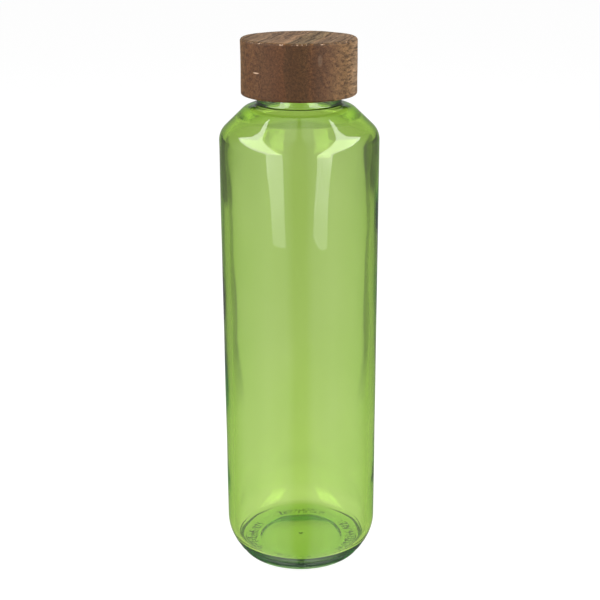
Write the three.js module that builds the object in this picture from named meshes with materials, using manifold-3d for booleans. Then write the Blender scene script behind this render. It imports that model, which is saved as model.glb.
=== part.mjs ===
// Glass water bottle with a screw-on wooden cap.
//
// Millimetres, +Z up. The origin is the middle of the base ring, at the level that the bottle stands on.
// Four pieces come apart on the bench: the blown glass body, the turned wooden cap, the threaded plastic
// liner pressed into that cap, and the silicone washer that lies between the liner and the glass rim.

import * as THREE from "three";
import { mergeVertices } from "three/addons/utils/BufferGeometryUtils.js";
import Module from "manifold-3d";

const wasm = await Module();
wasm.setup();

// ---------------------------------------------------------------- driving dimensions

const FACETS = 48; // sides of every turned shape
// largest turn, in degrees, between two points of a corner that is rounded by at least so many millimetres
const ARC_STEPS = [
  { round: 4, step: 12 },
  { round: 1, step: 31 },
  { round: 0, step: 46 },
];

// glass body
const BODY_R = 35; // outside radius of the straight wall
const WALL = 3; // glass thickness of the straight wall
const CORNER_Z = 202.55; // where the straight wall and the shoulder cone would meet
const RIDGE_R = 22.7; // where the shoulder cone and the shoulder top would meet
const RIDGE_Z = 214.4; // level of the shoulder top
const TOP_WALL = 2.6; // glass thickness of the shoulder top
const RIM_Z = 233.2; // top of the mouth
const NECK_R = 18.4; // plain collar under the thread
const COLLAR_TOP_Z = 219.2;
const BORE_R = 14; // bore of the neck

// foot of the glass body
const HEEL_Z = 10.86; // where the straight wall and the heel cone would meet
const HEEL_ROUND = 19; // radius of the heel
const FOOT_R = 27.4; // where the heel cone and the base plane would meet
const RING_INNER_R = 19.7; // inside of the flat ring that the bottle stands on
const PUSH_UP = 2.4; // height of the hollow under the base
const FLOOR_Z = 7.3; // inside floor
const FLOOR_DOME = 0.5; // how much higher the floor is in its middle
const FLOOR_R = 28.85; // where the inside cone and the floor would meet
const INNER_HEEL_Z = 11.8; // where the inside wall and the inside cone would meet

// screw thread, 6 turns to the inch, right-handed
const PITCH = 25.4 / 6;
const GLASS_ROOT_R = 17.55;
const GLASS_CREST_R = 18.6;
const THREAD_Z = 222.2; // middle of the glass thread where it starts
const THREAD_TURNS = 1.75;
const CLEARANCE = 0.3; // radial play between glass and liner
const LINER_ROOT_R = GLASS_CREST_R + CLEARANCE;
const LINER_CREST_R = GLASS_ROOT_R + CLEARANCE;
const RIDGE_BASE_W = 2.1; // axial width of a thread ridge at its root
const RIDGE_CREST_W = 1.1; // and at its crest
const RIDGE_DROP = 1.78; // how far the liner's ridge runs below the glass ridge that holds it down
const LINER_START_TURN = 0.25;
const LINER_TURNS = 1.35;
const THREAD_STEPS = 36; // steps for each turn
const RUN_OUT = 0.08; // share of a turn over which a ridge rises to its full height

// wooden cap
const CAP_R = 25.13;
const CAP_BOTTOM_Z = 218.65;
const CAP_TOP_Z = 242.9;
const CAP_BORE_R = 21.1;
const CAP_BORE_TOP_Z = 237.1;

// liner and washer
const LINER_R = 20.6;
const LINER_BOTTOM_Z = 219;
const LINER_TOP_Z = 236.9;
const LINER_CEILING_Z = 235.3;
const PLUG_R = 13.55; // short sleeve that centres the cap in the mouth
const PLUG_WALL = 1.2;
const PLUG_BOTTOM_Z = 230.8;
const GRIP_RIBS = 24; // small ribs that bite into the wood
const GRIP_RIB = { depth: 0.3, width: 1.1, bottom: 221, top: 235 };
const WASHER = { inner: 13.8, outer: 18.6, bottom: 233.35, top: 235.15, round: 0.35 };

// ---------------------------------------------------------------- outlines and solids

// A corner of an outline: radius from the axis, height, and how much the corner is rounded.
const corner = (r, z, round = 0) => ({ at: new THREE.Vector2(r, z), round });

// The outline through the corners, with each rounded one replaced by points along its arc.
function outline(corners) {
  const points = [];
  corners.forEach(({ at, round }, i) => {
    if (!round) {
      points.push(at);
      return;
    }
    const back = corners[i - 1].at.clone().sub(at).normalize();
    const ahead = corners[i + 1].at.clone().sub(at).normalize();
    const turn = Math.PI - Math.acos(THREE.MathUtils.clamp(back.dot(ahead), -1, 1));
    const reach = round * Math.tan(turn / 2);
    const start = at.clone().addScaledVector(back, reach);
    const middle = back.clone().add(ahead).normalize();
    const centre = at.clone().addScaledVector(middle, Math.hypot(round, reach));
    const finest = ARC_STEPS.find((kind) => round >= kind.round).step;
    const steps = Math.max(2, Math.ceil(THREE.MathUtils.radToDeg(turn) / finest));
    const way = Math.sign(ahead.cross(back)) || 1;
    for (let k = 0; k <= steps; k++) {
      points.push(start.clone().rotateAround(centre, (way * turn * k) / steps));
    }
  });
  return points;
}

// An outline in radius and height turned round the Z axis.
const turned = (points) => new THREE.LatheGeometry(points, FACETS).rotateX(Math.PI / 2);

function toSolid(geometry) {
  const bare = geometry.clone();
  bare.deleteAttribute("normal");
  bare.deleteAttribute("uv");
  const merged = mergeVertices(bare, 1e-4);
  const corners = merged.index.array;
  const kept = [];
  for (let i = 0; i < corners.length; i += 3) {
    const [a, b, c] = corners.slice(i, i + 3);
    if (a !== b && b !== c && c !== a) kept.push(a, b, c);
  }
  return new wasm.Manifold(
    new wasm.Mesh({
      numProp: 3,
      vertProperties: merged.attributes.position.array,
      triVerts: new Uint32Array(kept),
    }),
  );
}

function toGeometry(solid) {
  const mesh = solid.getMesh();
  const geometry = new THREE.BufferGeometry();
  geometry.setAttribute("position", new THREE.BufferAttribute(mesh.vertProperties, 3));
  geometry.setIndex(new THREE.BufferAttribute(mesh.triVerts, 1));
  geometry.computeVertexNormals();
  return geometry;
}

// A screw ridge: a straight bar of trapezoid section, extruded along Z by the number of turns, then wound
// round the axis. buried is the radius at which it ends inside the wall that carries it.
function screwRidge({ root, crest, buried, z, start, turns }) {
  const slope = (RIDGE_BASE_W - RIDGE_CREST_W) / 2 / Math.abs(crest - root);
  const buriedHalf = RIDGE_BASE_W / 2 + slope * Math.abs(buried - root);
  const section = new THREE.Shape([
    new THREE.Vector2(-buriedHalf, buried),
    new THREE.Vector2(-RIDGE_CREST_W / 2, crest),
    new THREE.Vector2(RIDGE_CREST_W / 2, crest),
    new THREE.Vector2(buriedHalf, buried),
  ]);
  const bar = new THREE.ExtrudeGeometry(section, {
    depth: turns,
    steps: Math.round(turns * THREAD_STEPS),
    bevelEnabled: false,
  });
  const place = bar.attributes.position;
  for (let i = 0; i < place.count; i++) {
    const along = place.getZ(i);
    const rise = THREE.MathUtils.smoothstep(Math.min(along, turns - along), -RUN_OUT / 8, RUN_OUT);
    const radius = THREE.MathUtils.lerp(buried, place.getY(i), rise);
    const angle = 2 * Math.PI * (start + along);
    place.setXYZ(
      i,
      radius * Math.cos(angle),
      radius * Math.sin(angle),
      z + place.getX(i) + PITCH * (start + along),
    );
  }
  return toSolid(bar);
}

function piece(name, geometry, material) {
  const mesh = new THREE.Mesh(geometry, material);
  mesh.name = name;
  return mesh;
}

// ---------------------------------------------------------------- materials

const greenGlass = new THREE.MeshStandardMaterial({
  color: 0x9cc45c,
  roughness: 0.04,
  metalness: 0,
  transparent: true,
  opacity: 0.45,
  side: THREE.DoubleSide,
});
const darkWood = new THREE.MeshStandardMaterial({ color: 0x7a5a45, roughness: 0.7, metalness: 0 });
const whitePlastic = new THREE.MeshStandardMaterial({ color: 0xe8e6df, roughness: 0.45, metalness: 0 });
const clearSilicone = new THREE.MeshStandardMaterial({ color: 0xdde1dd, roughness: 0.6, metalness: 0 });

// ---------------------------------------------------------------- glass body

// The hollow under the base, from the axis out to the flat ring, as a shallow arc.
function pushUp() {
  const steps = 4;
  const lip = 0.5;
  const edge = RING_INNER_R - lip;
  return Array.from({ length: steps + 1 }, (_, i) => {
    const share = i / steps;
    return corner(edge * share, lip + (PUSH_UP - lip) * (1 - share * share));
  });
}

function glassBody() {
  const inside = BODY_R - WALL;
  const cone = new THREE.Vector2(RIDGE_R - BODY_R, RIDGE_Z - CORNER_Z).normalize();
  // the inside of the shoulder cone runs parallel to the outside, one wall thickness away
  const coneStart = new THREE.Vector2(BODY_R - WALL * cone.y, CORNER_Z + WALL * cone.x);
  const onCone = (along) => coneStart.clone().addScaledVector(cone, along);
  const innerCorner = onCone((inside - coneStart.x) / cone.x);
  const innerRidge = onCone((RIDGE_Z - TOP_WALL - coneStart.y) / cone.y);
  const shell = outline([
    ...pushUp(),
    corner(RING_INNER_R, 0),
    corner(FOOT_R, 0, 5),
    corner(BODY_R, HEEL_Z, HEEL_ROUND),
    corner(BODY_R, CORNER_Z, 8.3),
    corner(RIDGE_R, RIDGE_Z, 7.5),
    corner(NECK_R, RIDGE_Z, 1.2),
    corner(NECK_R, COLLAR_TOP_Z),
    corner(GLASS_ROOT_R, COLLAR_TOP_Z + 0.85),
    corner(GLASS_ROOT_R, RIM_Z, 1),
    corner(BORE_R, RIM_Z, 1.2),
    corner(BORE_R, RIDGE_Z - TOP_WALL, 3),
    corner(innerRidge.x, innerRidge.y, 4.5),
    corner(innerCorner.x, innerCorner.y, 5.5),
    corner(inside, INNER_HEEL_Z, 12),
    corner(FLOOR_R, FLOOR_Z, 2.4),
    corner(FLOOR_R / 2, FLOOR_Z + FLOOR_DOME * 0.7),
    corner(0, FLOOR_Z + FLOOR_DOME),
  ]);
  const ridge = screwRidge({
    root: GLASS_ROOT_R,
    crest: GLASS_CREST_R,
    buried: GLASS_ROOT_R - 0.7,
    z: THREAD_Z,
    start: 0,
    turns: THREAD_TURNS,
  });
  return piece("glass_body", toGeometry(toSolid(turned(shell)).add(ridge)), greenGlass);
}

// ---------------------------------------------------------------- wooden cap

function woodCap() {
  const block = outline([
    corner(0, CAP_BORE_TOP_Z),
    corner(CAP_BORE_R, CAP_BORE_TOP_Z),
    corner(CAP_BORE_R, CAP_BOTTOM_Z, 0.4),
    corner(CAP_R, CAP_BOTTOM_Z, 0.9),
    corner(CAP_R, CAP_TOP_Z, 0.8),
    corner(0, CAP_TOP_Z),
  ]);
  return piece("wood_cap", turned(block), darkWood);
}

// ---------------------------------------------------------------- threaded liner

function gripRibs() {
  const { depth, width, bottom, top } = GRIP_RIB;
  const buried = 0.6;
  const ribs = [];
  for (let i = 0; i < GRIP_RIBS; i++) {
    const rib = new THREE.BoxGeometry(depth + buried, width, top - bottom);
    rib.translate(LINER_R + (depth - buried) / 2, 0, (top + bottom) / 2);
    ribs.push(toSolid(rib.rotateZ((2 * Math.PI * (i + 0.5)) / GRIP_RIBS)));
  }
  return ribs;
}

function threadInsert() {
  const cup = outline([
    corner(0, LINER_CEILING_Z),
    corner(PLUG_R - PLUG_WALL, LINER_CEILING_Z),
    corner(PLUG_R - PLUG_WALL, PLUG_BOTTOM_Z),
    corner(PLUG_R, PLUG_BOTTOM_Z, 0.5),
    corner(PLUG_R, LINER_CEILING_Z),
    corner(LINER_ROOT_R, LINER_CEILING_Z),
    corner(LINER_ROOT_R, LINER_BOTTOM_Z + 0.4),
    corner(LINER_ROOT_R + 0.4, LINER_BOTTOM_Z),
    corner(LINER_R, LINER_BOTTOM_Z),
    corner(LINER_R, LINER_TOP_Z, 0.5),
    corner(0, LINER_TOP_Z),
  ]);
  let liner = toSolid(turned(cup)).add(
    screwRidge({
      root: LINER_ROOT_R,
      crest: LINER_CREST_R,
      buried: LINER_ROOT_R + 0.7,
      z: THREAD_Z - RIDGE_DROP,
      start: LINER_START_TURN,
      turns: LINER_TURNS,
    }),
  );
  for (const rib of gripRibs()) liner = liner.add(rib);
  return piece("thread_insert", toGeometry(liner), whitePlastic);
}

// ---------------------------------------------------------------- washer

function sealingRing() {
  const { inner, outer, bottom, top, round } = WASHER;
  const middle = (inner + outer) / 2;
  const section = outline([
    corner(middle, bottom),
    corner(outer, bottom, round),
    corner(outer, top, round),
    corner(inner, top, round),
    corner(inner, bottom, round),
    corner(middle, bottom),
  ]);
  return piece("sealing_ring", turned(section), clearSilicone);
}

// ---------------------------------------------------------------- assembly

const cap = new THREE.Group();
cap.add(woodCap(), threadInsert());

const bottle = new THREE.Group();
bottle.add(glassBody(), sealingRing(), cap);

export default bottle;
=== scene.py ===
# %% [markdown]
# # Glass water bottle with a wooden screw cap
#
# A blown bottle of green recycled glass, 70 mm across and 243 mm tall with its cap on. Four pieces come
# apart on the bench: the glass body, the turned wooden cap, the threaded plastic liner that is pressed
# into the cap, and the silicone washer that the liner squeezes against the glass rim. Each of them is a
# turned shape, so each is one closed surface of revolution, computed as a grid of rows (along the
# outline) and columns (round the axis), and what isn't round is added to that grid as a small
# displacement: screw threads, base marks, grip ribs, worn edges, and the slow waves of blown glass.

import math

import bpy
import numpy as np
from mathutils import Matrix, Vector


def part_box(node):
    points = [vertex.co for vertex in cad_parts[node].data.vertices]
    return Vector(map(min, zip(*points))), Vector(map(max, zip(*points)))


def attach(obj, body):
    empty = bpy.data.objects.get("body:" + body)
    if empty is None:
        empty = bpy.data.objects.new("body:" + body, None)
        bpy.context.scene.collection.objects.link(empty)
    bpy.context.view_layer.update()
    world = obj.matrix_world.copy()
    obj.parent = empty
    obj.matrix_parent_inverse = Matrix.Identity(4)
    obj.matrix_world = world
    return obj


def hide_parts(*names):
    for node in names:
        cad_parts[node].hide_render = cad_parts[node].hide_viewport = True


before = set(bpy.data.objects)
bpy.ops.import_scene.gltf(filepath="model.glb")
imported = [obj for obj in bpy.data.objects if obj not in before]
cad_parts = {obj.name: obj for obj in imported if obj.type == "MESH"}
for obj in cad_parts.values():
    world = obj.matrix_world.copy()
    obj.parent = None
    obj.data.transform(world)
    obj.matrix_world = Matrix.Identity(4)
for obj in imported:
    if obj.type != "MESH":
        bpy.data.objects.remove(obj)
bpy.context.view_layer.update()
MM = 0.001

# %% [markdown]
# ## Sizes
#
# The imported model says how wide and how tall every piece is. The rest of each outline, such as wall
# thickness and corner rounding, is written once below, in millimetres.

# %% Boxes of the four pieces
glass_low, glass_high = (np.array(corner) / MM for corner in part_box("glass_body"))
cap_low, cap_high = (np.array(corner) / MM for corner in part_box("wood_cap"))
liner_low, liner_high = (np.array(corner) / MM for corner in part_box("thread_insert"))
washer_low, washer_high = (np.array(corner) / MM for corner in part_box("sealing_ring"))
BODY_R = float(glass_high[0])
RIM_Z = float(glass_high[2])
CAP_R = float(cap_high[0])
CAP_BOTTOM_Z = float(cap_low[2])
CAP_TOP_Z = float(cap_high[2])
print("glass radius, foot and rim:", round(BODY_R, 2), round(glass_low[2], 2), round(RIM_Z, 2))
print("cap radius, bottom and top:", round(CAP_R, 2), round(CAP_BOTTOM_Z, 2), round(CAP_TOP_Z, 2))
print("liner, bottom and top:", round(liner_low[2], 2), round(liner_high[2], 2))

# %% [markdown]
# ## Helpers for turned shapes
#
# A turner thinks of an outline as straight runs that meet in rounded corners. `outline` takes exactly
# that: each corner is (radius, height, rounding, rows on its arc, rows on the straight run before it).
# The rows of a straight run crowd towards its two ends, which keeps the smooth shading of a long flat
# run from being bent by the arc next to it.


# %% Outline of a turned shape
def outline(corners):
    """Rows of (radius, height). A rounded corner becomes points on the arc that touches both runs: the
    arc's centre lies on the bisector of the two runs, at the distance where the radius just reaches
    them. Extra rows on a run sit at (1 - cos(pi k / (n + 1))) / 2 of its length."""
    places = np.array([corner[:2] for corner in corners], float)
    rows = []
    for index, (radius, height, rounding, arc_rows, run_rows) in enumerate(corners):
        at = places[index]
        if rounding:
            back = places[index - 1] - at
            ahead = places[index + 1] - at
            back = back / np.linalg.norm(back)
            ahead = ahead / np.linalg.norm(ahead)
            turn = math.pi - math.acos(float(np.clip(back @ ahead, -1, 1)))
            reach = rounding * math.tan(turn / 2)
            middle = (back + ahead) / np.linalg.norm(back + ahead)
            centre = at + middle * math.hypot(rounding, reach)
            spoke = at + back * reach - centre
            way = -np.sign(ahead[0] * back[1] - ahead[1] * back[0])
            angles = -way * np.linspace(0, turn, arc_rows)
            cos, sin = np.cos(angles), np.sin(angles)
            arc = np.stack([cos * spoke[0] - sin * spoke[1], sin * spoke[0] + cos * spoke[1]], 1)
            points = centre + arc
        else:
            points = at[None, :]
        if run_rows and rows:
            start = rows[-1][-1]
            share = (1 - np.cos(np.pi * np.arange(1, run_rows + 1) / (run_rows + 1))) / 2
            rows.append(start + share[:, None] * (points[0] - start))
        rows.append(points)
    return np.vstack(rows)


# %% Grid of a turned shape
def outward(rows):
    """Outward direction of each row of an outline: its tangent turned a quarter turn to the right."""
    tangent = np.gradient(rows, axis=0)
    tangent = tangent / np.linalg.norm(tangent, axis=1, keepdims=True)
    return np.stack([tangent[:, 1], -tangent[:, 0]], 1)


def turned(name, rows, columns, lift=0.0):
    """Mesh of an outline turned round Z. The vertex of row i and column j lies at radius r_i and angle
    2 pi j / columns, moved outwards by lift[i, j]. A row on the axis is a single vertex, closed by a
    fan of triangles. All vertices and faces are computed as whole arrays."""
    normal = outward(rows)
    lift = np.broadcast_to(lift, (len(rows), columns))
    radius = rows[:, :1] + normal[:, :1] * lift
    height = rows[:, 1:] + normal[:, 1:] * lift
    angle = 2 * np.pi * np.arange(columns) / columns
    grid = np.stack([radius * np.cos(angle), radius * np.sin(angle), height], 2)
    first = rows[0, 0] < 1e-9
    last = rows[-1, 0] < 1e-9
    body = grid[int(first):len(rows) - int(last)]
    count = len(body)
    vertices = [body.reshape(-1, 3)]
    here = np.arange(count * columns).reshape(count, columns)
    beside = np.roll(here, -1, axis=1)
    upper = count if not (first or last) else count - 1
    above = np.roll(here, -1, axis=0)
    beside_above = np.roll(beside, -1, axis=0)
    quads = np.stack([here, beside, beside_above, above], 2)[:upper].reshape(-1, 4)
    fans = []
    if first:
        pole = count * columns
        vertices.append(np.array([[0.0, 0.0, rows[0, 1] + lift[0].mean() * normal[0, 1]]]))
        fans.append(np.stack([np.full(columns, pole), beside[0], here[0]], 1))
    if last:
        pole = count * columns + int(first)
        vertices.append(np.array([[0.0, 0.0, rows[-1, 1] + lift[-1].mean() * normal[-1, 1]]]))
        fans.append(np.stack([here[-1], beside[-1], np.full(columns, pole)], 1))
    return mesh_object(name, np.vstack(vertices) * MM, quads, np.vstack(fans) if fans else None)


def mesh_object(name, vertices, quads, triangles=None):
    """Object from whole arrays of vertices (metres), quads and triangles, shaded smooth."""
    corners = [quads.reshape(-1)]
    sizes = [np.full(len(quads), 4)]
    if triangles is not None:
        corners.append(triangles.reshape(-1))
        sizes.append(np.full(len(triangles), 3))
    corners = np.concatenate(corners).astype(np.int32)
    sizes = np.concatenate(sizes)
    mesh = bpy.data.meshes.new(name)
    mesh.vertices.add(len(vertices))
    mesh.vertices.foreach_set("co", vertices.astype(np.float32).reshape(-1))
    mesh.loops.add(len(corners))
    mesh.loops.foreach_set("vertex_index", corners)
    mesh.polygons.add(len(sizes))
    mesh.polygons.foreach_set("loop_start", (np.cumsum(sizes) - sizes).astype(np.int32))
    mesh.polygons.foreach_set("use_smooth", np.ones(len(sizes), bool))
    mesh.update(calc_edges=True)
    mesh.validate()
    made = bpy.data.objects.new(name, mesh)
    bpy.context.scene.collection.objects.link(made)
    print(name, "has", len(vertices), "vertices and", int((sizes - 2).sum()), "triangles")
    return made


# %% [markdown]
# Nothing that is blown, turned or moulded is perfectly regular. `waves` gives a smooth, seeded
# unevenness that closes on itself round the axis.


# %% Smooth unevenness round an axis
def waves(seed, angle, height, turns, span, count=12):
    """Sum of count cosines of (n * angle + 2 pi * height / length + phase), with n a whole number up to
    turns and length between span and four times span. It is scaled to a spread of about one."""
    random = np.random.default_rng(seed)
    total = np.zeros(np.broadcast(angle, height).shape)
    for _ in range(count):
        n = random.integers(-turns, turns + 1)
        pace = 2 * np.pi / (span * random.uniform(1, 4)) * random.choice([-1, 1])
        total += np.cos(n * angle + pace * height + random.uniform(0, 2 * np.pi))
    return total / math.sqrt(count / 2)


def smoothstep(value, low, high):
    """0 below low, 1 above high, and the cubic 3 s^2 - 2 s^3 between them."""
    share = np.clip((value - low) / (high - low), 0, 1)
    return share * share * (3 - 2 * share)


# %% [markdown]
# ## Screw thread
#
# The neck has the common thread of six turns to the inch. The same helix serves the ridge on the glass
# and the ridge inside the liner: at each angle the ridge passes at one or two heights, and its section
# is a trapezoid with softened edges, because glass and moulded plastic both round off.

# %% Thread sizes and ridge
PITCH = 25.4 / 6
GLASS_ROOT_R = 17.55
GLASS_CREST_R = 18.6
THREAD_Z = 222.2
THREAD_TURNS = 1.75
THREAD_PLAY = 0.3
LINER_ROOT_R = GLASS_CREST_R + THREAD_PLAY
LINER_CREST_R = GLASS_ROOT_R + THREAD_PLAY
RIDGE_BASE_W = 2.1
RIDGE_CREST_W = 1.1
RIDGE_DROP = 1.78
LINER_START_TURN = 0.25
LINER_TURNS = 1.35
RUN_OUT_TURN = 0.08


def screw_ridge(angle, height, start_z, start_turn, turns):
    """How high a screw ridge stands, from 0 to 1, at each angle and height. Its middle lies at
    start_z + PITCH * turn. Across, it falls from 1 at half the crest width to 0 at half the base width,
    and it fades in and out over RUN_OUT_TURN at its two ends."""
    share = np.zeros(np.broadcast(angle, height).shape)
    for lap in range(int(math.ceil(start_turn + turns)) + 1):
        turn = angle / (2 * np.pi) + lap
        along = turn - start_turn
        ends = smoothstep(np.minimum(along, turns - along), 0, RUN_OUT_TURN)
        off = np.abs(height - start_z - PITCH * turn)
        across = 1 - smoothstep(off, RIDGE_CREST_W / 2 - 0.1, RIDGE_BASE_W / 2 + 0.1)
        share = np.maximum(share, across * ends)
    return share


print("thread crest to crest, mm:", round(2 * GLASS_CREST_R, 2), "with a pitch of", round(PITCH, 3))

# %% [markdown]
# ## Glass body
#
# Outside and inside are one continuous surface: it starts in the middle of the hollow base, runs over
# the flat ring the bottle stands on, up the round heel and the wall, over the soft shoulder, up the neck
# with its thread, over the rim, and back down the inside to the middle of the floor. Refraction needs
# the true wall, so the inside has its own outline: 3 mm of glass in the wall, a floor of 5 to 7 mm, and
# a heel that is thick where the inside rounds off sooner than the outside. The bore ends in a small lip,
# as a plunger that forms the neck can leave, and a small pip stands in the middle of the hollow base.

# %% Outline of the glass
WALL = 3.0
CORNER_Z = 202.55
RIDGE_R = 22.7
RIDGE_Z = 214.4
BORE_END_Z = 212.8
LIP_W = 2.6
LIP_RISE = 0.8
SHOULDER_R = 25.5
SHOULDER_Z = 207.4
NECK_R = 18.4
COLLAR_TOP_Z = 219.2
BORE_R = 14.0
HEEL_Z = 10.86
HEEL_ROUND = 19.0
FOOT_R = 27.4
RING_INNER_R = 19.7
PUSH_UP = 1.9
LIP = 0.3
PIP_R = 1.1
PIP_SLOPE_W = 0.8
PIP_HEIGHT = 0.35
FLOOR_Z = 7.3
FLOOR_DOME = 0.5
FLOOR_R = 28.85
INNER_HEEL_Z = 11.8
RING_LIFT = 0.5

cone = np.array([RIDGE_R - BODY_R, RIDGE_Z - CORNER_Z])
cone = cone / np.linalg.norm(cone)
cone_start = np.array([BODY_R - WALL * cone[1], CORNER_Z + WALL * cone[0]])
inner_corner = cone_start + cone * (BODY_R - WALL - cone_start[0]) / cone[0]

push_up_r = np.linspace(0, 1, 10)
push_up = np.stack(
    [(RING_INNER_R - LIP) * push_up_r, LIP + RING_LIFT + (PUSH_UP - LIP) * (1 - push_up_r**2)], 1
)
pip_r = np.array([0.0, 0.5, 0.8, PIP_R])
pip_z = push_up[0, 1] - PIP_HEIGHT * smoothstep(PIP_R - pip_r, 0, PIP_SLOPE_W)
push_up = np.vstack([np.stack([pip_r, pip_z], 1), push_up[1:]])
shell = outline(
    [
        (RING_INNER_R, RING_LIFT, 0, 1, 3),
        (FOOT_R, RING_LIFT, 5, 12, 34),
        (BODY_R, HEEL_Z, HEEL_ROUND, 56, 2),
        (BODY_R, CORNER_Z, 8.3, 11, 32),
        (RIDGE_R, RIDGE_Z, 7.5, 11, 2),
        (NECK_R, RIDGE_Z, 1.2, 6, 2),
        (NECK_R, COLLAR_TOP_Z, 0.3, 3, 2),
        (GLASS_ROOT_R, COLLAR_TOP_Z + 0.85, 0.4, 3, 1),
        (GLASS_ROOT_R, RIM_Z, 1, 6, 42),
        (BORE_R, RIM_Z, 1.2, 6, 2),
        (BORE_R, BORE_END_Z, 1.0, 6, 4),
        (BORE_R + LIP_W, BORE_END_Z + LIP_RISE, 1.2, 6, 1),
        (SHOULDER_R, SHOULDER_Z, 12, 9, 2),
        (inner_corner[0], inner_corner[1], 5.5, 9, 2),
        (BODY_R - WALL, INNER_HEEL_Z, 12, 12, 30),
        (FLOOR_R, FLOOR_Z, 2.4, 8, 1),
        (FLOOR_R / 2, FLOOR_Z + FLOOR_DOME * 0.7, 60, 4, 2),
        (0, FLOOR_Z + FLOOR_DOME, 0, 1, 3),
    ]
)
glass_rows = np.vstack([push_up, shell])
outer_rows = int(np.argmax(glass_rows[:, 1])) + 1
print("rows of the glass:", len(glass_rows), "of which outside:", outer_rows)

# %% [markdown]
# The ring under the bottle carries raised marks that keep the hot glass off the conveyor: short radial
# bars in loose groups, touching the ground while the ring itself stays a little above it. They are plain
# marks that say nothing. Each takes one or two columns of the grid.

# %% Marks on the base ring
GLASS_COLUMNS = 288
MARK_INNER_R = 21.6
MARK_OUTER_R = 25.4
MARK_SECTOR = 8
MARK_STEP = 4
MARK_MIN_LENGTH = 0.8
MARK_SEED = 7
MARK_GROUPS = (((150, 215), 0.95), ((60, 120), 0.55), ((318, 392), 0.95), ((235, 300), 0.35))

random = np.random.default_rng(MARK_SEED)
angle = 2 * np.pi * np.arange(GLASS_COLUMNS) / GLASS_COLUMNS
ring_r = glass_rows[:outer_rows, 0]
marks = np.zeros((len(glass_rows), GLASS_COLUMNS))
for sector in range(GLASS_COLUMNS // MARK_SECTOR):
    degrees = (sector + 0.5) * 360 * MARK_SECTOR / GLASS_COLUMNS
    chance = max(
        share if low <= degrees <= high or low <= degrees + 360 <= high else 0.0
        for (low, high), share in MARK_GROUPS
    )
    if random.random() > chance:
        continue
    for start in range(0, MARK_SECTOR, MARK_STEP):
        width = int(random.integers(1, 3))
        low = MARK_INNER_R + random.choice([0, 0, 1.2, 2.4])
        high = MARK_OUTER_R - random.choice([0, 0, 1.2])
        if high - low < MARK_MIN_LENGTH:
            continue
        column = sector * MARK_SECTOR + start + np.arange(width)
        profile = smoothstep(ring_r, low - 0.2, low + 0.1)
        profile = profile * (1 - smoothstep(ring_r, high - 0.1, high + 0.2))
        profile = profile * (glass_rows[:outer_rows, 1] < RING_LIFT + 0.05)
        marks[:outer_rows, column] = np.maximum(marks[:outer_rows, column], profile[:, None])
print("columns that carry a mark:", int((marks.max(axis=0) > 0.5).sum()))

# %% [markdown]
# Blown glass follows its cold mould closely on the outside and swims freely on the inside, so the inner
# skin is several times wavier than the outer one. Both fade out towards the neck and the heel. A mould
# with a stepped base plate leaves shallow rings round the heel.

# %% Displacement and mesh of the glass
OUTER_WAVE = 0.02
OUTER_RIPPLE = 0.012
INNER_WAVE = 0.10
INNER_RIPPLE = 0.03
HEEL_RING = 0.28
HEEL_RING_STEP = 3.0
HEEL_RING_Z = 2.0
rows_r = glass_rows[:, :1]
rows_z = glass_rows[:, 1:]
is_outer = (np.arange(len(glass_rows)) < outer_rows)[:, None]
on_wall = smoothstep(rows_z, 14, 30) * (1 - smoothstep(rows_z, 196, 210))
thread = screw_ridge(angle, rows_z, THREAD_Z, 0, THREAD_TURNS)
thread_rows = is_outer & (rows_z > COLLAR_TOP_Z) & (rows_r < NECK_R) & (rows_z < RIM_Z - 1.5)
outer_wave = OUTER_WAVE * waves(3, angle, rows_z, 7, 40) + OUTER_RIPPLE * waves(4, angle, rows_z, 18, 14)
inner_wave = INNER_WAVE * waves(5, angle, rows_z, 6, 50) + INNER_RIPPLE * waves(6, angle, rows_z, 16, 16)
glass_lift = on_wall * np.where(is_outer, outer_wave, inner_wave)
on_heel = smoothstep(rows_z, RING_LIFT + 0.1, 1.2) * (1 - smoothstep(rows_z, 6.5, 8.5))
on_heel = on_heel * is_outer * (rows_r > FOOT_R - 4)
heel_wave = np.cos(2 * np.pi * (rows_z - HEEL_RING_Z) / HEEL_RING_STEP)
glass_lift = glass_lift + HEEL_RING * on_heel * heel_wave
glass_lift = glass_lift + thread * thread_rows * (GLASS_CREST_R - GLASS_ROOT_R)
glass_lift = glass_lift + marks * RING_LIFT
glass = turned("bottle_glass", glass_rows, GLASS_COLUMNS, glass_lift)

# %% [markdown]
# Finer relief than the bars is too thin for the grid. So the glass carries an attribute that says where
# the groups of marks stand, and its material paints random scribbled dark lines there, which say nothing:
# painted shade in place of the light that such fine relief bends away.

# %% Where the marks stand
MARK_SHARE_LEAST = 0.4
on_ring = smoothstep(rows_r, MARK_INNER_R - 0.3, MARK_INNER_R)
on_ring = on_ring * (1 - smoothstep(rows_r, MARK_OUTER_R, MARK_OUTER_R + 0.3))
on_ring = on_ring * is_outer * (rows_z < RING_LIFT + 0.1)
group_share = np.zeros(GLASS_COLUMNS)
for (low, high), share in MARK_GROUPS:
    turned_by = (np.degrees(angle) - low) % 360
    weight = MARK_SHARE_LEAST + (1 - MARK_SHARE_LEAST) * share
    group_share = np.where(turned_by <= high - low, weight, group_share)
group_values = np.concatenate([(on_ring * group_share)[1:-1].reshape(-1), np.zeros(2)])
group_attribute = glass.data.attributes.new("mark_group", "FLOAT", "POINT")
group_attribute.data.foreach_set("value", group_values)
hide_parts("glass_body")
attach(glass, "bottle")
print("share of a turn that groups of marks take up:", round(float((group_share > 0).mean()), 2))

# %% [markdown]
# ## Wooden cap
#
# One block of hardwood, turned on a lathe with its fibres lying across the axis, so the side shows end
# grain at the front and back and long grain at the two flanks. Its two edges are sanded round by about a
# millimetre, and along the top one fibres have torn away in short, shallow chips. Underneath, a blind
# bore takes the liner.

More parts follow.
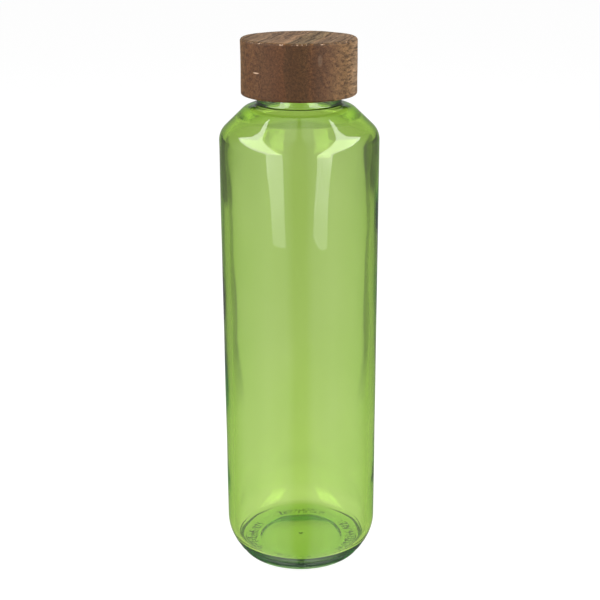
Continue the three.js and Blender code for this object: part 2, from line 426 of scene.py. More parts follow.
# %% Outline and worn edge of the cap
CAP_COLUMNS = 512
CAP_BORE_R = 21.1
CAP_BORE_TOP_Z = 237.1
EDGE_WEAR = 0.16
CHIP_DEPTH = 0.45

cap_rows = outline(
    [
        (0, CAP_BORE_TOP_Z, 0, 1, 0),
        (CAP_BORE_R, CAP_BORE_TOP_Z, 0.4, 4, 3),
        (CAP_BORE_R, CAP_BOTTOM_Z, 0.4, 4, 4),
        (CAP_R, CAP_BOTTOM_Z, 1.1, 8, 3),
        (CAP_R, CAP_TOP_Z, 1.3, 10, 30),
        (0, CAP_TOP_Z, 0, 1, 18),
    ]
)
cap_angle = 2 * np.pi * np.arange(CAP_COLUMNS) / CAP_COLUMNS
cap_r, cap_z = cap_rows[:, :1], cap_rows[:, 1:]
to_edge = np.hypot(np.maximum(CAP_R - cap_r, 0), np.maximum(CAP_TOP_Z - cap_z, 0))
near_edge = 1 - smoothstep(to_edge, 0.1, 1.3)
ragged = waves(11, cap_angle, 0 * cap_z, 90, 30, 40)
chipped = smoothstep(waves(12, cap_angle, 0 * cap_z, 60, 30, 30), 0.9, 2.2)
soft = 0.05 * waves(13, cap_angle, cap_z, 9, 12, 16)
cap_lift = -near_edge * (EDGE_WEAR * np.abs(ragged) + CHIP_DEPTH * chipped)
outside = (cap_r > CAP_BORE_R + 1) | (cap_z > CAP_TOP_Z - 0.1)
cap_lift = cap_lift * outside - 0.04 + np.minimum(soft, 0.04) * outside
cap = turned("cap_wood", cap_rows, CAP_COLUMNS, cap_lift)

# %% [markdown]
# Torn fibres also look different, so how torn each point of the edge is goes into an attribute that the
# wood reads.

# %% How torn the edge is
TORN_BY_WEAR = 0.35
TORN_BY_CHIPS = 1.2
torn = near_edge * outside * np.clip(TORN_BY_WEAR * np.abs(ragged) + TORN_BY_CHIPS * chipped, 0, 1)
torn_values = np.concatenate([torn[1:-1].reshape(-1), np.zeros(2)])
cap.data.attributes.new("torn_edge", "FLOAT", "POINT").data.foreach_set("value", torn_values)
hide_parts("wood_cap")
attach(cap, "cap")
print("share of the cap's points on torn wood:", round(float((torn_values > 0.1).mean()), 3))

# %% [markdown]
# ## Threaded liner
#
# Wood can't hold a thread against glass, so a white moulded cup does: it is pressed and glued into the
# bore, with fine ribs on its outside that bite into the wood, the thread inside, and a short sleeve that
# centres the cap in the mouth of the bottle.

# %% Outline, thread and ribs of the liner
LINER_COLUMNS = 384
LINER_R = 20.6
LINER_BOTTOM_Z = 219.0
LINER_TOP_Z = 236.9
LINER_CEILING_Z = 235.3
PLUG_R = 13.55
PLUG_WALL = 1.2
PLUG_BOTTOM_Z = 230.8
GRIP_RIBS = 24
RIB_DEPTH = 0.3
RIB_WIDTH = 1.1
RIB_BOTTOM_Z = 221.0
RIB_TOP_Z = 235.0

liner_rows = outline(
    [
        (0, LINER_CEILING_Z, 0, 1, 0),
        (PLUG_R - PLUG_WALL, LINER_CEILING_Z, 0.4, 4, 3),
        (PLUG_R - PLUG_WALL, PLUG_BOTTOM_Z, 0.3, 4, 2),
        (PLUG_R, PLUG_BOTTOM_Z, 0.5, 5, 1),
        (PLUG_R, LINER_CEILING_Z, 0.3, 4, 2),
        (LINER_ROOT_R, LINER_CEILING_Z, 0.3, 4, 3),
        (LINER_ROOT_R, LINER_BOTTOM_Z, 0.4, 5, 60),
        (LINER_R, LINER_BOTTOM_Z, 0.3, 5, 1),
        (LINER_R, LINER_TOP_Z, 0.5, 5, 24),
        (0, LINER_TOP_Z, 0, 1, 3),
    ]
)
liner_angle = 2 * np.pi * np.arange(LINER_COLUMNS) / LINER_COLUMNS
liner_r, liner_z = liner_rows[:, :1], liner_rows[:, 1:]
on_thread = (np.abs(liner_r - LINER_ROOT_R) < 0.01) & (liner_z > LINER_BOTTOM_Z + 0.5)
inner_ridge_height = screw_ridge(
    liner_angle, liner_z, THREAD_Z - RIDGE_DROP, LINER_START_TURN, LINER_TURNS
)
rib_off = np.abs((liner_angle * GRIP_RIBS / (2 * np.pi)) % 1 - 0.5) * 2 * np.pi / GRIP_RIBS * LINER_R
ribs = 1 - smoothstep(rib_off, RIB_WIDTH / 2 - 0.15, RIB_WIDTH / 2 + 0.15)
rib_height = smoothstep(liner_z, RIB_BOTTOM_Z - 0.3, RIB_BOTTOM_Z + 0.3)
rib_height = rib_height * (1 - smoothstep(liner_z, RIB_TOP_Z - 0.3, RIB_TOP_Z + 0.3))
on_ribs = np.abs(liner_r - LINER_R) < 0.01
liner_lift = inner_ridge_height * on_thread * (LINER_ROOT_R - LINER_CREST_R)
liner_lift = liner_lift + ribs * rib_height * on_ribs * RIB_DEPTH
liner = turned("cap_liner", liner_rows, LINER_COLUMNS, liner_lift)
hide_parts("thread_insert")
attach(liner, "cap")

# %% [markdown]
# ## Sealing washer
#
# A flat ring of milky silicone with slightly rounded edges. It isn't quite flat any more: the rim of the
# glass has pressed a shallow groove into its underside.

# %% Outline of the washer
WASHER_COLUMNS = 256
WASHER_INNER_R = 13.8
WASHER_OUTER_R = 18.6
WASHER_ROUND = 0.35
GROOVE_DEPTH = 0.08

washer_bottom, washer_top = float(washer_low[2]), float(washer_high[2])
middle_r = (WASHER_INNER_R + WASHER_OUTER_R) / 2
washer_rows = outline(
    [
        (middle_r, washer_bottom, 0, 1, 0),
        (WASHER_OUTER_R, washer_bottom, WASHER_ROUND, 6, 8),
        (WASHER_OUTER_R, washer_top, WASHER_ROUND, 6, 2),
        (WASHER_INNER_R, washer_top, WASHER_ROUND, 6, 12),
        (WASHER_INNER_R, washer_bottom, WASHER_ROUND, 6, 2),
        (middle_r, washer_bottom, 0, 1, 8),
    ]
)[:-1]
groove = np.exp(-(((washer_rows[:, :1] - (BORE_R + GLASS_ROOT_R) / 2) / 0.9) ** 2))
groove = groove * (washer_rows[:, 1:] < washer_bottom + 0.01)
washer = turned("sealing_washer", washer_rows, WASHER_COLUMNS, -GROOVE_DEPTH * groove)
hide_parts("sealing_ring")
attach(washer, "washer")

# %% [markdown]
# ## Materials
#
# Each material is made of nodes and reads object coordinates, so its grain sits inside the piece like
# real grain does and turns with it.


# %% Node helpers
def new_material(name):
    """A material with its Principled shader, and a function that adds a node with its inputs set."""
    material = bpy.data.materials.new(name)
    material.use_nodes = True
    tree = material.node_tree
    shader = next(node for node in tree.nodes if node.type == "BSDF_PRINCIPLED")

    def add(kind, inputs=None, **settings):
        node = tree.nodes.new(kind)
        for key, value in settings.items():
            setattr(node, key, value)
        for key, value in (inputs or {}).items():
            if isinstance(value, bpy.types.NodeSocket):
                tree.links.new(value, node.inputs[key])
            else:
                node.inputs[key].default_value = value
        return node

    return material, tree, shader, add


def ramp(add, fac, stops):
    """Colour ramp with the given (position, colour) stops."""
    node = add("ShaderNodeValToRGB", {"Fac": fac})
    elements = node.color_ramp.elements
    while len(elements) < len(stops):
        elements.new(0.5)
    for element, (position, colour) in zip(elements, stops):
        element.position = position
        element.color = (*colour, 1.0)
    return node.outputs["Color"]


def wear(obj, material):
    """Gives the object this one material."""
    obj.data.materials.clear()
    obj.data.materials.append(material)
    print(obj.name, "wears", material.name)


# %% [markdown]
# Green glass. The colour comes from the depth of glass that light crosses, as in the real thing: a volume
# inside the wall absorbs blue most and green least, so thick glass is darker. Faint streaks run up the
# bottle where the molten glass was not perfectly mixed. The marks under the base are painted as dark
# lines: painted shade that stands in for the way their fine relief bends light away.

# %% Green glass
GLASS_TINT = (0.97, 0.985, 0.95)
GLASS_TINT_DEEP = (0.94, 0.965, 0.91)
MARK_PAINTED_SHADE = (0.01, 0.03, 0.0)
ABSORPTION_DENSITY = 400.0
ABSORPTION_COLOUR = (0.748, 0.893, 0.27, 1.0)
green_glass, tree, shader, add = new_material("green_glass")
shader.inputs["Transmission Weight"].default_value = 1.0
shader.inputs["IOR"].default_value = 1.5
shader.inputs["Roughness"].default_value = 0.0
place = add("ShaderNodeTexCoord")
stretched = add(
    "ShaderNodeMapping", {"Vector": place.outputs["Object"], "Scale": (60.0, 60.0, 12.0)}
)
cords_noise = add(
    "ShaderNodeTexNoise", {"Vector": stretched.outputs["Vector"], "Scale": 1.0, "Detail": 3.0}
)
tint = ramp(
    add, cords_noise.outputs["Fac"], [(0.3, GLASS_TINT), (0.7, GLASS_TINT_DEEP)]
)
mark_group = add("ShaderNodeAttribute", attribute_name="mark_group")
scribble = add("ShaderNodeTexNoise", {"Vector": place.outputs["Object"], "Scale": 470.0, "Detail": 0.5})
scribble_line = ramp(
    add,
    scribble.outputs["Fac"],
    [(0.425, (0, 0, 0)), (0.45, (1, 1, 1)), (0.53, (1, 1, 1)), (0.555, (0, 0, 0))],
)
mark_shade_share = add(
    "ShaderNodeMath", {0: scribble_line, 1: mark_group.outputs["Fac"]}, operation="MULTIPLY"
)
# Painted shade: where the scribbled lines fall, the glass colour is mixed towards near black.
marks_with_painted_shade = add(
    "ShaderNodeMix",
    {"Factor": mark_shade_share.outputs[0], 6: tint, 7: (*MARK_PAINTED_SHADE, 1.0)},
    data_type="RGBA",
)
tree.links.new(marks_with_painted_shade.outputs[2], shader.inputs["Base Color"])
ripple = add(
    "ShaderNodeBump",
    {"Height": cords_noise.outputs["Fac"], "Strength": 0.12, "Distance": 0.0002},
)
tree.links.new(ripple.outputs["Normal"], shader.inputs["Normal"])
absorb = add(
    "ShaderNodeVolumeAbsorption", {"Color": ABSORPTION_COLOUR, "Density": ABSORPTION_DENSITY}
)
out = next(node for node in tree.nodes if node.type == "OUTPUT_MATERIAL")
tree.links.new(absorb.outputs["Volume"], out.inputs["Volume"])
wear(glass, green_glass)

# %% [markdown]
# Dark hardwood, stained and left matt. The fibres run from front to back and a little to the right.
# Growth layers stand upright, so they show as vertical bands on the side and as parallel lines on the
# top. Pores are long thin tubes along the fibres: dots on end grain, fine dashes on long grain.

# %% Dark wood: directions
FIBRE_DEGREES = 75.0
wood, tree, shader, add = new_material("dark_wood")
place = add("ShaderNodeTexCoord")
along_fibre = add(
    "ShaderNodeVectorRotate",
    {
        "Vector": place.outputs["Object"],
        "Axis": (0, 0, 1),
        "Angle": math.radians(90 - FIBRE_DEGREES),
    },
)
grain_place = along_fibre.outputs["Vector"]
wobble = add("ShaderNodeTexNoise", {"Vector": grain_place, "Scale": 55.0, "Detail": 2.0})
wobble_offset = add(
    "ShaderNodeVectorMath",
    {0: wobble.outputs["Color"], 1: (0.003, 0.003, 0.003)},
    operation="MULTIPLY",
)
wavy_place = add(
    "ShaderNodeVectorMath", {0: grain_place, 1: wobble_offset.outputs["Vector"]}, operation="ADD"
)

# %% Dark wood: growth layers, pores and fibres
layers_scale = add(
    "ShaderNodeMapping", {"Vector": wavy_place.outputs["Vector"], "Scale": (130.0, 8.0, 14.0)}
)
layers = add(
    "ShaderNodeTexNoise", {"Vector": layers_scale.outputs["Vector"], "Scale": 1.0, "Detail": 3.0}
)
pores_scale = add(
    "ShaderNodeMapping", {"Vector": wavy_place.outputs["Vector"], "Scale": (3600.0, 260.0, 3600.0)}
)
pores = add("ShaderNodeTexNoise", {"Vector": pores_scale.outputs["Vector"], "Scale": 1.0, "Detail": 2.0})
fibre_scale = add(
    "ShaderNodeMapping", {"Vector": wavy_place.outputs["Vector"], "Scale": (900.0, 40.0, 900.0)}
)
fibres = add("ShaderNodeTexNoise", {"Vector": fibre_scale.outputs["Vector"], "Scale": 1.0, "Detail": 3.0})
line_scale = add(
    "ShaderNodeMapping", {"Vector": wavy_place.outputs["Vector"], "Scale": (1100.0, 34.0, 1100.0)}
)
lines = add("ShaderNodeTexNoise", {"Vector": line_scale.outputs["Vector"], "Scale": 1.0, "Detail": 1.0})
base_wood = ramp(
    add,
    layers.outputs["Fac"],
    [
        (0.30, (0.150, 0.078, 0.042)),
        (0.48, (0.200, 0.108, 0.060)),
        (0.62, (0.235, 0.135, 0.078)),
        (0.75, (0.175, 0.102, 0.058)),
    ],
)
pore_shade = ramp(
    add,
    pores.outputs["Fac"],
    [(0.30, (0.50, 0.47, 0.44)), (0.48, (0.95, 0.95, 0.95)), (0.70, (1.35, 1.30, 1.22))],
)
fibre_shade = ramp(add, fibres.outputs["Fac"], [(0.3, (0.62, 0.60, 0.58)), (0.7, (1.35, 1.33, 1.28))])
line_shade = ramp(
    add,
    lines.outputs["Fac"],
    [
        (0.36, (0.26, 0.23, 0.21)),
        (0.45, (0.92, 0.90, 0.88)),
        (0.60, (1.05, 1.05, 1.04)),
        (0.70, (1.30, 1.28, 1.25)),
    ],
)


def multiply(first, second, factor=1.0):
    """Colour product of two sockets."""
    node = add(
        "ShaderNodeMix",
        {"Factor": factor, 6: first, 7: second},
        data_type="RGBA",
        blend_type="MULTIPLY",
    )
    return node.outputs[2]


colour = multiply(multiply(base_wood, pore_shade), fibre_shade, 0.85)

# %% [markdown]
# End grain drinks more stain than long grain, so the wood darkens as its surface turns across the fibres.
# The same ramp also holds painted light from above: the top shares its lightest, coolest stop, so the top
# is painted lighter than the sides.
# One growth layer right of the middle is darker and greener than the rest, with a pale one beside it.
# The dark lines along the fibres fade out where the surface turns to end grain.

# %% Dark wood: end grain and growth bands
fibre = (math.cos(math.radians(FIBRE_DEGREES)), math.sin(math.radians(FIBRE_DEGREES)), 0)
across = add("ShaderNodeVectorMath", {0: place.outputs["Normal"], 1: fibre}, operation="DOT_PRODUCT")
end_grain = add("ShaderNodeMath", {0: across.outputs["Value"]}, operation="ABSOLUTE")
# Real stain by end grain, plus painted light: the top takes the lightest, coolest stop and is painted
# lighter than the sides, as if lit from above.
stain_and_painted_top_light = ramp(
    add,
    end_grain.outputs[0],
    [
        (0.00, (0.79, 0.95, 1.04)),
        (0.40, (0.61, 0.65, 0.53)),
        (0.75, (0.354, 0.298, 0.214)),
        (0.96, (0.266, 0.208, 0.123)),
    ],
)
band_place = add("ShaderNodeSeparateXYZ", {"Vector": wavy_place.outputs["Vector"]})
band_share = add(
    "ShaderNodeMapRange",
    {"Value": band_place.outputs["X"], "From Min": -CAP_R * MM, "From Max": CAP_R * MM},
)
bands = ramp(
    add,
    band_share.outputs[0],
    [
        (0.00, (1.00, 1.00, 1.00)),
        (0.30, (1.00, 0.97, 0.95)),
        (0.44, (1.12, 1.04, 0.98)),
        (0.53, (1.16, 1.04, 0.95)),
        (0.56, (0.90, 0.93, 0.85)),
        (0.72, (0.88, 0.93, 0.84)),
        (0.745, (1.22, 1.20, 1.10)),
        (0.80, (0.98, 1.00, 1.04)),
        (0.92, (1.08, 1.08, 1.05)),
    ],
)
line_share = add("ShaderNodeMapRange", {"Value": end_grain.outputs[0], "To Min": 1.0, "To Max": 0.25})
colour = multiply(colour, line_shade, line_share.outputs[0])
colour = multiply(multiply(colour, stain_and_painted_top_light), bands)

# %% [markdown]
# A few marks of use: a short pale nick on the left of the front, a faint pale streak beside the dark
# layer, and dark and pale torn fibres along the top edge.


# %% Dark wood: nicks and torn edge
def spot(bearing_degrees, height, half_sizes):
    """Share from 0 to 1 of a small soft-edged ellipsoid on the side of the cap. Its middle lies at the
    bearing from +X and the height in millimetres; its half sizes are in millimetres."""
    turn = math.radians(bearing_degrees)
    middle = Vector((CAP_R * math.cos(turn), CAP_R * math.sin(turn), height)) * MM
    apart = add("ShaderNodeVectorMath", {0: place.outputs["Object"], 1: middle}, operation="SUBTRACT")
    sized = add(
        "ShaderNodeVectorMath",
        {0: apart.outputs["Vector"], 1: [1 / (size * MM) for size in half_sizes]},
        operation="MULTIPLY",
    )
    reach = add("ShaderNodeVectorMath", {0: sized.outputs["Vector"]}, operation="LENGTH")
    inside = add(
        "ShaderNodeMapRange",
        {"Value": reach.outputs["Value"], "From Min": 0.5, "From Max": 1.1, "To Min": 1.0, "To Max": 0.0},
        interpolation_type="SMOOTHSTEP",
    )
    return inside.outputs[0]


def paint(base, tone, share):
    """Mixes a plain tone over a colour by a share."""
    node = add("ShaderNodeMix", {"Factor": share, 6: base, 7: (*tone, 1.0)}, data_type="RGBA")
    return node.outputs[2]


PALE_WOOD = (0.40, 0.27, 0.18)
DARK_WOOD = (0.045, 0.028, 0.018)
nick = spot(224.5, 230.1, (2.0, 2.0, 0.32))
streak = add("ShaderNodeMath", {0: spot(290.3, 235.8, (1.2, 1.2, 2.8)), 1: 0.10}, operation="MULTIPLY")
torn_edge = add("ShaderNodeAttribute", attribute_name="torn_edge")
torn_share = add(
    "ShaderNodeMath", {0: torn_edge.outputs["Fac"], 1: pores.outputs["Fac"]}, operation="MULTIPLY"
)
colour = paint(colour, PALE_WOOD, nick)
colour = paint(colour, PALE_WOOD, streak.outputs[0])
torn_dark = ramp(add, torn_share.outputs[0], [(0.03, (0, 0, 0)), (0.10, (0.75,) * 3), (0.20, (0, 0, 0))])
torn_pale = ramp(add, torn_share.outputs[0], [(0.16, (0, 0, 0)), (0.30, (0.9,) * 3)])
colour = paint(colour, DARK_WOOD, torn_dark)
colour = paint(colour, PALE_WOOD, torn_pale)
tree.links.new(colour, shader.inputs["Base Color"])
shader.inputs["Roughness"].default_value = 0.62
shader.inputs["Specular IOR Level"].default_value = 0.18
grain_bump = add(
    "ShaderNodeBump", {"Height": pores.outputs["Fac"], "Strength": 0.5, "Distance": 0.0002}
)
tree.links.new(grain_bump.outputs["Normal"], shader.inputs["Normal"])
wear(cap, wood)

# %% [markdown]
# White moulded plastic with a faint mould texture, and milky silicone.

# %% White plastic and silicone
plastic, tree, shader, add = new_material("white_plastic")
place = add("ShaderNodeTexCoord")
speckle = add("ShaderNodeTexNoise", {"Vector": place.outputs["Object"], "Scale": 900.0, "Detail": 2.0})
shade = ramp(add, speckle.outputs["Fac"], [(0.3, (0.74, 0.73, 0.69)), (0.7, (0.80, 0.79, 0.75))])
tree.links.new(shade, shader.inputs["Base Color"])
shader.inputs["Roughness"].default_value = 0.42
mould = add("ShaderNodeBump", {"Height": speckle.outputs["Fac"], "Strength": 0.15, "Distance": 0.0002})
tree.links.new(mould.outputs["Normal"], shader.inputs["Normal"])
wear(liner, plastic)

silicone, tree, shader, add = new_material("clear_silicone")
place = add("ShaderNodeTexCoord")
haze = add("ShaderNodeTexNoise", {"Vector": place.outputs["Object"], "Scale": 350.0, "Detail": 3.0})
shade = ramp(add, haze.outputs["Fac"], [(0.3, (0.70, 0.74, 0.72)), (0.7, (0.78, 0.81, 0.79))])
tree.links.new(shade, shader.inputs["Base Color"])
shader.inputs["Roughness"].default_value = 0.5
shader.inputs["Transmission Weight"].default_value = 0.35
shader.inputs["IOR"].default_value = 1.41
soft_bump = add("ShaderNodeBump", {"Height": haze.outputs["Fac"], "Strength": 0.2, "Distance": 0.0002})
tree.links.new(soft_bump.outputs["Normal"], shader.inputs["Normal"])
wear(washer, silicone)

# %% [markdown]
# ## Studio
#
# A white sweep below and behind, a soft grey room for what the glass reflects, and two long soft boxes
# that hang to the left and right, running from low in front to above the shoulder. Their reflections
# are the two pale strips on the bottle. Glass shows what stands around it, so the room that it reflects
# is brightest to the front left and right, dimmer straight in front and dark behind. The background is
# white to the camera, and seen through the glass it darkens towards the horizon.

# %% World
world = bpy.data.worlds.new("studio")
bpy.context.scene.world = world
world.use_nodes = True
nodes, links = world.node_tree.nodes, world.node_tree.links
nodes.clear()


def world_node(kind, inputs=None, **settings):
    """Adds a node to the world with its settings and inputs."""
    node = nodes.new(kind)
    for key, value in settings.items():
        setattr(node, key, value)
    for key, value in (inputs or {}).items():
        if isinstance(value, bpy.types.NodeSocket):
            links.new(value, node.inputs[key])
        else:
            node.inputs[key].default_value = value
    return node


HORIZON_LEVEL = 0.55
SKY_FADE = 0.35
ray = world_node("ShaderNodeLightPath")
seen = world_node(
    "ShaderNodeMath",
    {0: ray.outputs["Is Camera Ray"], 1: ray.outputs["Is Transmission Ray"]},
    operation="MAXIMUM",
)
direction = world_node("ShaderNodeTexCoord")
parts = world_node("ShaderNodeSeparateXYZ", {"Vector": direction.outputs["Generated"]})
aside = world_node("ShaderNodeMath", {0: parts.outputs["X"]}, operation="ABSOLUTE")
forward = world_node("ShaderNodeMath", {0: parts.outputs["Y"], 1: -1.0}, operation="MULTIPLY")
bearing = world_node("ShaderNodeMath", {0: aside.outputs[0], 1: forward.outputs[0]}, operation="ARCTAN2")
room_level = world_node("ShaderNodeValToRGB")
half_turn = world_node("ShaderNodeMath", {0: bearing.outputs[0], 1: math.pi}, operation="DIVIDE")
links.new(half_turn.outputs[0], room_level.inputs["Fac"])
ROOM_STOPS = (
    (8, 0.45),
    (20, 1.35),
    (50, 1.75),
    (90, 1.2),
    (118, 0.36),
    (145, 0.18),
    (163, 0.20),
    (178, 0.40),
)
elements = room_level.color_ramp.elements
while len(elements) < len(ROOM_STOPS):
    elements.new(0.5)
for element, (degrees, level) in zip(elements, ROOM_STOPS):
    element.position = degrees / 180
    element.color = (level, level, level, 1)
room = world_node("ShaderNodeBackground", {"Color": room_level.outputs["Color"]})
ambient = world_node("ShaderNodeBackground", {"Color": (0.5, 0.5, 0.5, 1)})
indirect = world_node(
    "ShaderNodeMixShader",
    {0: ray.outputs["Is Glossy Ray"], 1: ambient.outputs[0], 2: room.outputs[0]},
)
sky_level = world_node(
    "ShaderNodeMapRange",
    {"Value": parts.outputs["Z"], "From Max": SKY_FADE, "To Min": HORIZON_LEVEL, "To Max": 1.0},
)
sweep_level = world_node(
    "ShaderNodeMath", {0: sky_level.outputs[0], 1: ray.outputs["Is Camera Ray"]}, operation="MAXIMUM"
)
sweep = world_node("ShaderNodeBackground", {"Color": (1, 1, 1, 1), "Strength": sweep_level.outputs[0]})
blend = world_node(
    "ShaderNodeMixShader", {0: seen.outputs[0], 1: indirect.outputs[0], 2: sweep.outputs[0]}
)
world_node("ShaderNodeOutputWorld", {"Surface": blend.outputs[0]})
print("room levels by bearing:", ROOM_STOPS)

# %% [markdown]
# The floor and the soft boxes are plain four-cornered surfaces.


# %% Four-cornered surface
def patch(name, corners, steps):
    """Four-cornered surface: the point at shares (u, v) is the bilinear mix of the four corners, which
    are given in order round the patch."""
    a, b, c, d = (np.array(corner, float) for corner in corners)
    u = np.linspace(0, 1, steps)[:, None, None]
    v = np.linspace(0, 1, steps)[None, :, None]
    grid = (1 - u) * (1 - v) * a + u * (1 - v) * b + u * v * c + (1 - u) * v * d
    index = np.arange(steps * steps).reshape(steps, steps)
    quads = np.stack([index[:-1, :-1], index[1:, :-1], index[1:, 1:], index[:-1, 1:]], 2)
    made = mesh_object(name, grid.reshape(-1, 3), quads.reshape(-1, 4))
    return made


# %% [markdown]
# The floor is pale and even where the camera sees it. To every other ray it is dimmer, and darkest in
# zones behind the bottle to the left and right: a narrow one that begins near the bottle and a wide one
# further off, which begins further off still on the right. They stand for the dark flags that are set up
# beside glass to give it dark edges. Bearings are in degrees from straight behind, distances in metres.

# %% Floor
FLOOR_HALF = 6.0
FLOOR_DROP = 0.0002
FLOOR_SEEN = 0.9
FLOOR_ZONE_LEAST = 0.05
ZONE_END = (58, 75)
WIDE_START = (17, 20)
WIDE_BEYOND = (0.56, 0.76)
WIDE_SHIFT_X = 0.05
WIDE_SHIFT = 0.13
NARROW_START = (18, 21)
NARROW_FADE = (27, 33)
NARROW_LEVELS = (0.85, 0.25)
NARROW_BEYOND = (0.18, 0.26)
floor = patch(
    "floor",
    [
        (-FLOOR_HALF, -FLOOR_HALF, 0),
        (FLOOR_HALF, -FLOOR_HALF, 0),
        (FLOOR_HALF, FLOOR_HALF, 0),
        (-FLOOR_HALF, FLOOR_HALF, 0),
    ],
    2,
)
floor.location.z = -FLOOR_DROP
pale, tree, shader, add = new_material("pale_floor")
shader.inputs["Base Color"].default_value = (0.16, 0.16, 0.16, 1)
shader.inputs["Roughness"].default_value = 0.9
shader.inputs["Specular IOR Level"].default_value = 0.0
shader.inputs["Emission Color"].default_value = (1, 1, 1, 1)
place = add("ShaderNodeTexCoord")
parts = add("ShaderNodeSeparateXYZ", {"Vector": place.outputs["Object"]})
far = add("ShaderNodeVectorMath", {0: place.outputs["Object"]}, operation="LENGTH")
aside = add("ShaderNodeMath", {0: parts.outputs["X"]}, operation="ABSOLUTE")
bearing = add("ShaderNodeMath", {0: aside.outputs[0], 1: parts.outputs["Y"]}, operation="ARCTAN2")


def bearing_step(low, high, start=0.0, end=1.0):
    """Goes smoothly from start to end between two bearings from +Y, in degrees."""
    step = add(
        "ShaderNodeMapRange",
        {
            "Value": bearing.outputs[0],
            "From Min": math.radians(low),
            "From Max": math.radians(high),
            "To Min": start,
            "To Max": end,
        },
        interpolation_type="SMOOTHSTEP",
    )
    return step.outputs[0]


def product(first, second):
    """Product of two sockets or numbers."""
    return add("ShaderNodeMath", {0: first, 1: second}, operation="MULTIPLY").outputs[0]


right_shift = add(
    "ShaderNodeMapRange",
    {
        "Value": parts.outputs["X"],
        "From Min": -WIDE_SHIFT_X,
        "From Max": WIDE_SHIFT_X,
        "To Min": 0.0,
        "To Max": -WIDE_SHIFT,
    },
)
shifted = add("ShaderNodeMath", {0: far.outputs["Value"], 1: right_shift.outputs[0]}, operation="ADD")
away = add(
    "ShaderNodeMapRange",
    {"Value": shifted.outputs[0], "From Min": WIDE_BEYOND[0], "From Max": WIDE_BEYOND[1]},
    interpolation_type="SMOOTHSTEP",
)
wide = product(product(bearing_step(*WIDE_START), bearing_step(*ZONE_END, 1, 0)), away.outputs[0])
beyond = add(
    "ShaderNodeMapRange",
    {"Value": far.outputs["Value"], "From Min": NARROW_BEYOND[0], "From Max": NARROW_BEYOND[1]},
)
narrow = product(bearing_step(*NARROW_START), bearing_step(*NARROW_FADE, *NARROW_LEVELS))
narrow = product(narrow, beyond.outputs[0])
narrow = product(narrow, bearing_step(*ZONE_END, 1, 0))
dark = add("ShaderNodeMath", {0: wide, 1: narrow}, operation="MAXIMUM")
falloff = ramp(
    add,
    far.outputs["Value"],
    [(0.05, (0.70,) * 3), (0.10, (0.60,) * 3), (0.30, (0.515,) * 3), (0.60, (0.505,) * 3)],
)
shadow = add(
    "ShaderNodeMapRange", {"Value": dark.outputs[0], "To Min": 1.0, "To Max": FLOOR_ZONE_LEAST}
)
unlit = add("ShaderNodeMath", {0: falloff, 1: shadow.outputs[0]}, operation="MULTIPLY")
ray = add("ShaderNodeLightPath")
lit = add(
    "ShaderNodeMapRange",
    {"Value": ray.outputs["Is Camera Ray"], "To Min": unlit.outputs[0], "To Max": FLOOR_SEEN},
)
tree.links.new(lit.outputs[0], shader.inputs["Emission Strength"])
wear(floor, pale)
floor.visible_glossy = False

# %% [markdown]
# The soft boxes are even along most of their length and dimmer near the low end. Seen straight through
# the glass they are plain and pale, not bright. To a reflected path that has crossed three glass surfaces
# or more they are dimmer.

# %% Soft boxes
BOX_STEPS = 24
BOX_AFTER_THREE_SURFACES = 0.7
BOX_CENTRE_Z = 0.2
BOX_STRENGTH = 7.0
BOX_SEEN_THROUGH_GLASS = 0.8
BOX_CORNERS = (
    (0.450, 0.090, 0.774),
    (0.790, 0.325, 0.480),
    (0.715, -0.915, -0.365),
    (0.405, -1.113, -0.372),
)
BOX_LEVELS = ((0.80, 1.0), (0.855, 0.66), (0.92, 0.64), (0.97, 0.50))
soft_light, tree, shader, add = new_material("soft_box")
tree.nodes.remove(shader)
share = add("ShaderNodeAttribute", attribute_name="length_share")
fade = ramp(add, share.outputs["Fac"], [(place, (level,) * 3) for place, level in BOX_LEVELS])
ray = add("ShaderNodeLightPath")
deep = add(
    "ShaderNodeMapRange",
    {
        "Value": ray.outputs["Transmission Depth"],
        "From Min": 2.0,
        "From Max": 3.0,
        "To Min": 1.0,
        "To Max": BOX_AFTER_THREE_SURFACES,
    },
)
level = add("ShaderNodeMath", {0: deep.outputs[0], 1: BOX_STRENGTH}, operation="MULTIPLY")
unreflected = add(
    "ShaderNodeMath", {0: 1.0, 1: ray.outputs["Glossy Depth"]}, operation="SUBTRACT", use_clamp=True
)
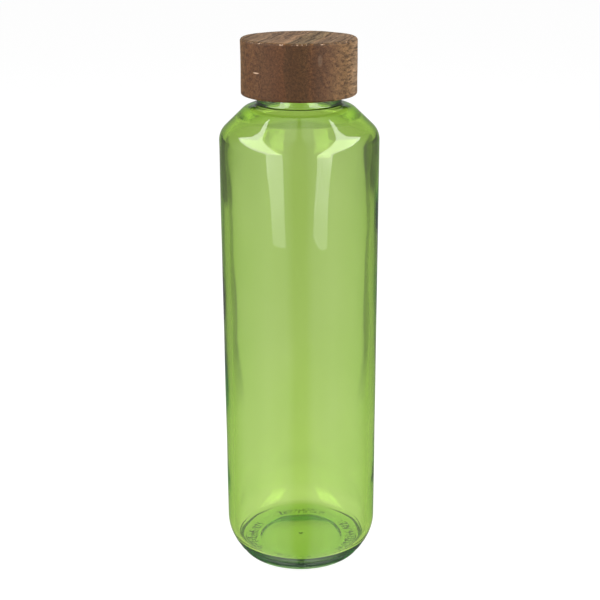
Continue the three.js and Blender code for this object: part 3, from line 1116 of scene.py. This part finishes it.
through = add(
    "ShaderNodeMath",
    {0: unreflected.outputs[0], 1: ray.outputs["Is Transmission Ray"]},
    operation="MULTIPLY",
)
level = add(
    "ShaderNodeMapRange",
    {"Value": through.outputs[0], "To Min": level.outputs[0], "To Max": BOX_SEEN_THROUGH_GLASS},
)
glow = add("ShaderNodeEmission", {"Color": fade, "Strength": level.outputs[0]})
out = next(node for node in tree.nodes if node.type == "OUTPUT_MATERIAL")
tree.links.new(glow.outputs[0], out.inputs["Surface"])
for side, box_name in ((-1, "soft_box_left"), (1, "soft_box_right")):
    corners = [(side * x, y, z + BOX_CENTRE_Z) for x, y, z in BOX_CORNERS]
    soft_box = patch(box_name, corners, BOX_STEPS)
    share = soft_box.data.attributes.new("length_share", "FLOAT", "POINT")
    share.data.foreach_set("value", np.tile(np.linspace(0, 1, BOX_STEPS), BOX_STEPS))
    soft_box.visible_camera = False
    wear(soft_box, soft_light)

# %% [markdown]
# ## Camera
#
# It stands about half a metre in front of the bottle, above the level of its cap, and looks down.

# %% Camera
CAMERA_LENS = 72.453
CAMERA_PLACE = (0.0, -0.52216, 0.30187)
CAMERA_DOWN_DEGREES = 18.743
CAMERA_ROLL_DEGREES = -0.26
camera_data = bpy.data.cameras.new("camera")
camera_data.lens = CAMERA_LENS
camera_data.sensor_width = 36.0
camera = bpy.data.objects.new("camera", camera_data)
bpy.context.scene.collection.objects.link(camera)
camera.matrix_world = (
    Matrix.Translation(CAMERA_PLACE)
    @ Matrix.Rotation(math.radians(90 - CAMERA_DOWN_DEGREES), 4, "X")
    @ Matrix.Rotation(math.radians(CAMERA_ROLL_DEGREES), 4, "Z")
)
bpy.context.scene.camera = camera
print("camera stands", round(Vector(CAMERA_PLACE).length, 3), "m from the middle of the base")

# %% [markdown]
# Light crosses the wall of a bottle many times, so the glass needs long light paths. The tone stays plain.

# %% Tone and light paths
scene = bpy.context.scene
scene.view_settings.view_transform = "Standard"
scene.cycles.max_bounces = 32
scene.cycles.transmission_bounces = 32
scene.cycles.glossy_bounces = 16
scene.cycles.transparent_max_bounces = 16
